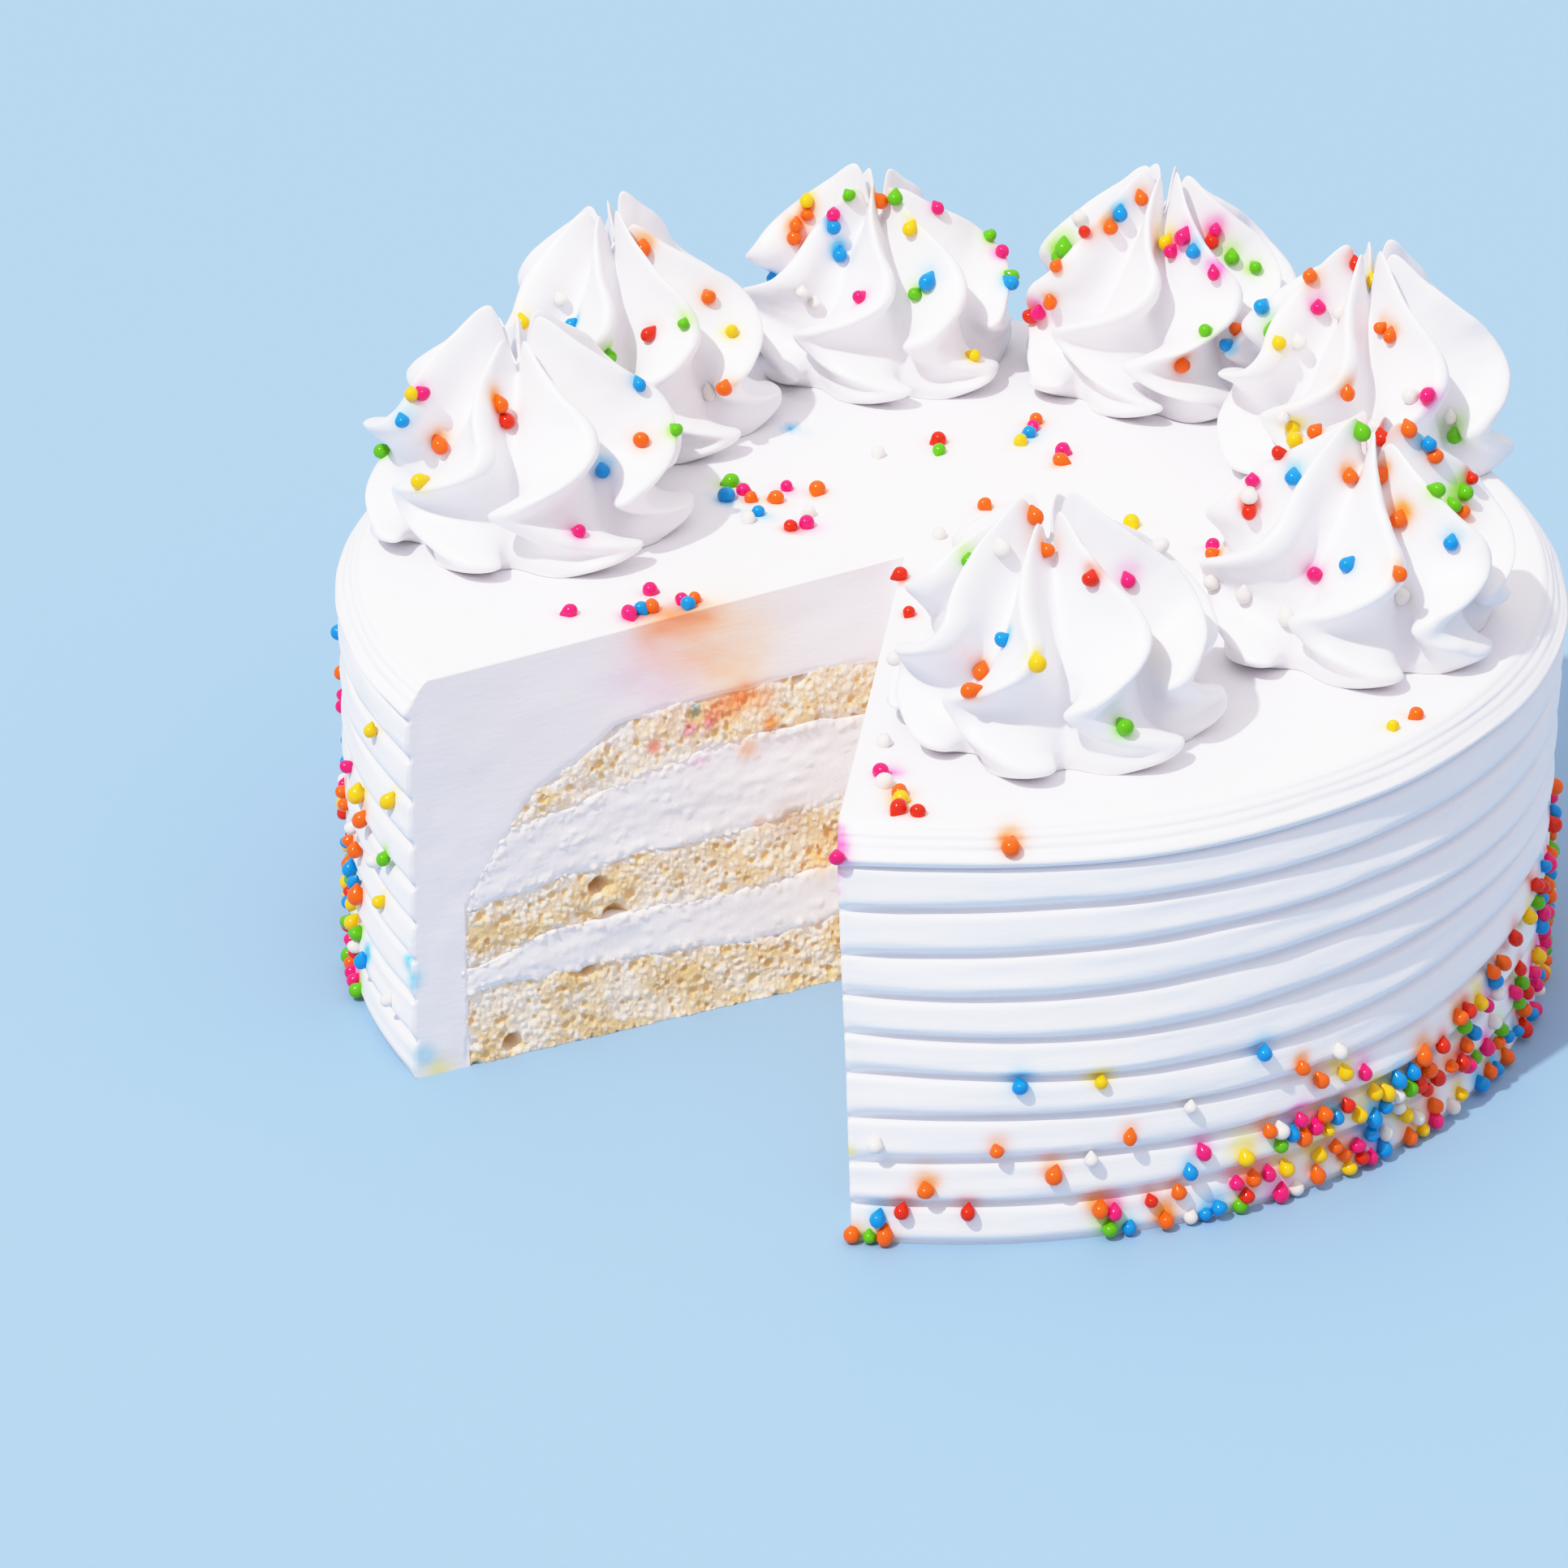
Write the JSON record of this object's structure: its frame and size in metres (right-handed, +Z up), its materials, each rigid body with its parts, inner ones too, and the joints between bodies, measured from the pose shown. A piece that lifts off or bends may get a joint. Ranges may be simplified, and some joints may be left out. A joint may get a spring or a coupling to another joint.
{
  "type": "vanilla layer cake",
  "caption": "Round vanilla layer cake with a slice cut out, comb-ridged white icing, piped rosettes and sugar sprinkles.",
  "frame": {"origin": "centre of the cake's round base, on the board", "axes": "+Z up, the missing slice faces -Y and a little to -X"},
  "size_m": [0.1617, 0.1617, 0.0897],
  "materials": {
    "icing": "smooth white icing with a soft satin sheen",
    "piped_icing": "piped white icing, satin",
    "cream": "white cream filling, torn and matt where it was cut",
    "sponge": "pale golden crumb with open pores",
    "sprinkles": "glossy sugar beads in orange, red, pink, yellow, blue, green and pearl white"
  },
  "bodies": {
    "root": {"icing": "icing", "sponge_bottom": "sponge", "sponge_middle": "sponge", "sponge_top": "sponge", "cream_lower": "cream", "cream_upper": "cream", "rosette_1": "piped_icing", "rosette_2": "piped_icing", "rosette_3": "piped_icing", "rosette_4": "piped_icing", "rosette_5": "piped_icing", "rosette_6": "piped_icing", "rosette_7": "piped_icing"}
  },
  "joints": []
}
